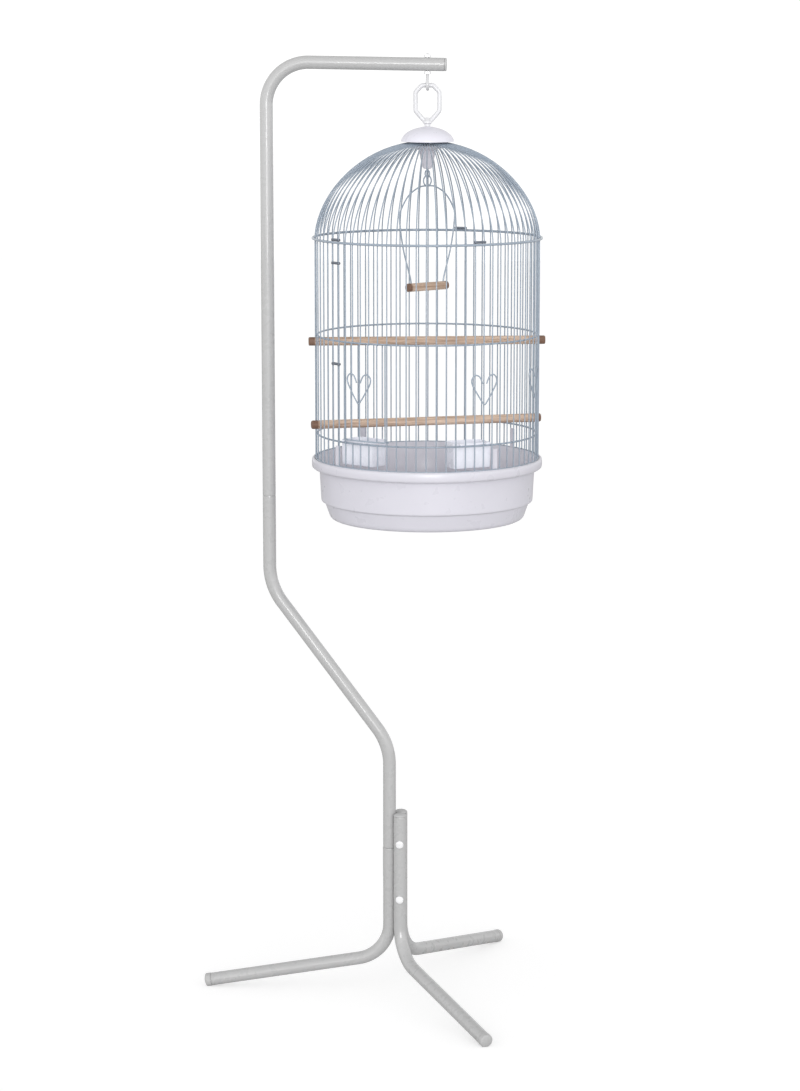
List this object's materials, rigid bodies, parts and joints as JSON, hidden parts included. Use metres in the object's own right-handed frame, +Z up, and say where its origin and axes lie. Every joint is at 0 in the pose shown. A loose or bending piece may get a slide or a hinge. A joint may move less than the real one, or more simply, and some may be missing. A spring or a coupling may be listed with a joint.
{
  "type": "bird cage on stand",
  "caption": "Round domed wire bird cage with a white tray, hanging from the arm of a bent steel tube stand on a tripod foot.",
  "frame": {"origin": "on the floor, at the middle of the bottom of the object's box", "axes": "+Z up; +X along the arm, from the upright pole towards the arm's end; -Y is the front, where the cage's door is"},
  "size_m": [0.5044, 0.5108, 1.384],
  "materials": {
    "grey_paint": "satin light grey paint",
    "grey_plastic": "matte grey plugs",
    "zinc_plate": "bright zinc plate",
    "white_plastic": "gloss white, faintly violet",
    "white_wire": "gloss white coating, faintly blue",
    "wood": "plain turned dowel, matte"
  },
  "bodies": {
    "stand": {"arm_tube": "grey_paint", "offset_tube": "grey_paint", "leg_tube_left": "grey_paint", "leg_tube_front": "grey_paint", "leg_tube_back": "grey_paint", "foot_plug_left": "grey_plastic", "foot_plug_front": "grey_plastic", "foot_plug_back": "grey_plastic", "top_plug_front": "grey_plastic", "top_plug_back": "grey_plastic", "arm_end_plug": "grey_plastic", "stand_hook": "white_wire", "upper_joint_sleeve": "zinc_plate", "lower_joint_sleeve": "zinc_plate", "leg_tab_upper": "grey_paint", "leg_bolt_upper": "zinc_plate", "leg_nut_upper": "zinc_plate", "leg_tab_lower": "grey_paint", "leg_bolt_lower": "zinc_plate", "leg_nut_lower": "zinc_plate", "hook_nut_top": "zinc_plate", "hook_nut_under": "zinc_plate"},
    "hanger": {"hanger_loop": "white_plastic", "stem_nut": "zinc_plate"},
    "cage": {"top_cap": "white_plastic", "clamp_boss": "white_plastic", "doorway_panel": "white_wire", "wall_panel_1": "white_wire", "wall_panel_2": "white_wire", "wall_panel_3": "white_wire", "wall_panel_4": "white_wire", "wall_panel_5": "white_wire", "wall_panel_6": "white_wire", "wall_panel_7": "white_wire", "dome_panel_1": "white_wire", "dome_panel_2": "white_wire", "dome_panel_3": "white_wire", "dome_panel_4": "white_wire", "dome_panel_5": "white_wire", "dome_panel_6": "white_wire", "dome_panel_7": "white_wire", "dome_panel_8": "white_wire", "dome_hoop": "white_wire", "middle_ring": "white_wire", "lower_ring": "white_wire", "swing_eye": "white_wire", "middle_perch": "wood", "lower_perch": "wood", "heart_right": "white_wire", "heart_far_right": "white_wire"},
    "door": {"door": "white_wire", "door_heart": "white_wire"},
    "swing": {"swing_wire": "white_wire", "swing_perch": "wood"},
    "feeder_cup_left": {"feeder_cup_left": "white_plastic"},
    "feeder_cup_right": {"feeder_cup_right": "white_plastic"},
    "tray": {"tray": "white_plastic"}
  },
  "joints": [
    {"name": "cage_rock", "type": "hinge", "parent": "stand", "child": "hanger", "pos_m": [0.08193, 0, 1.339], "axis": [0.9976, 0.0698, 0], "range_deg": [-20, 20]},
    {"name": "cage_turn", "type": "hinge", "parent": "hanger", "child": "cage", "pos_m": [0.08193, 0, 1.25], "axis": [0, 0, 1], "continuous": true},
    {"name": "swing_rock", "type": "hinge", "parent": "cage", "child": "swing", "pos_m": [0.08193, 0, 1.2113], "axis": [0.7193, 0.6947, 0], "range_deg": [-25, 25]},
    {"name": "door_lift", "type": "slide", "parent": "cage", "child": "door", "axis": [0, 0, 1], "range_m": [0, 0.12]},
    {"name": "cup_left_lift", "type": "slide", "parent": "cage", "child": "feeder_cup_left", "axis": [0, 0, 1], "range_m": [0, 0.03]},
    {"name": "cup_right_lift", "type": "slide", "parent": "cage", "child": "feeder_cup_right", "axis": [0, 0, 1], "range_m": [0, 0.03]},
    {"name": "tray_drop", "type": "slide", "parent": "cage", "child": "tray", "axis": [0, 0, -1], "range_m": [0, 0.06]}
  ]
}
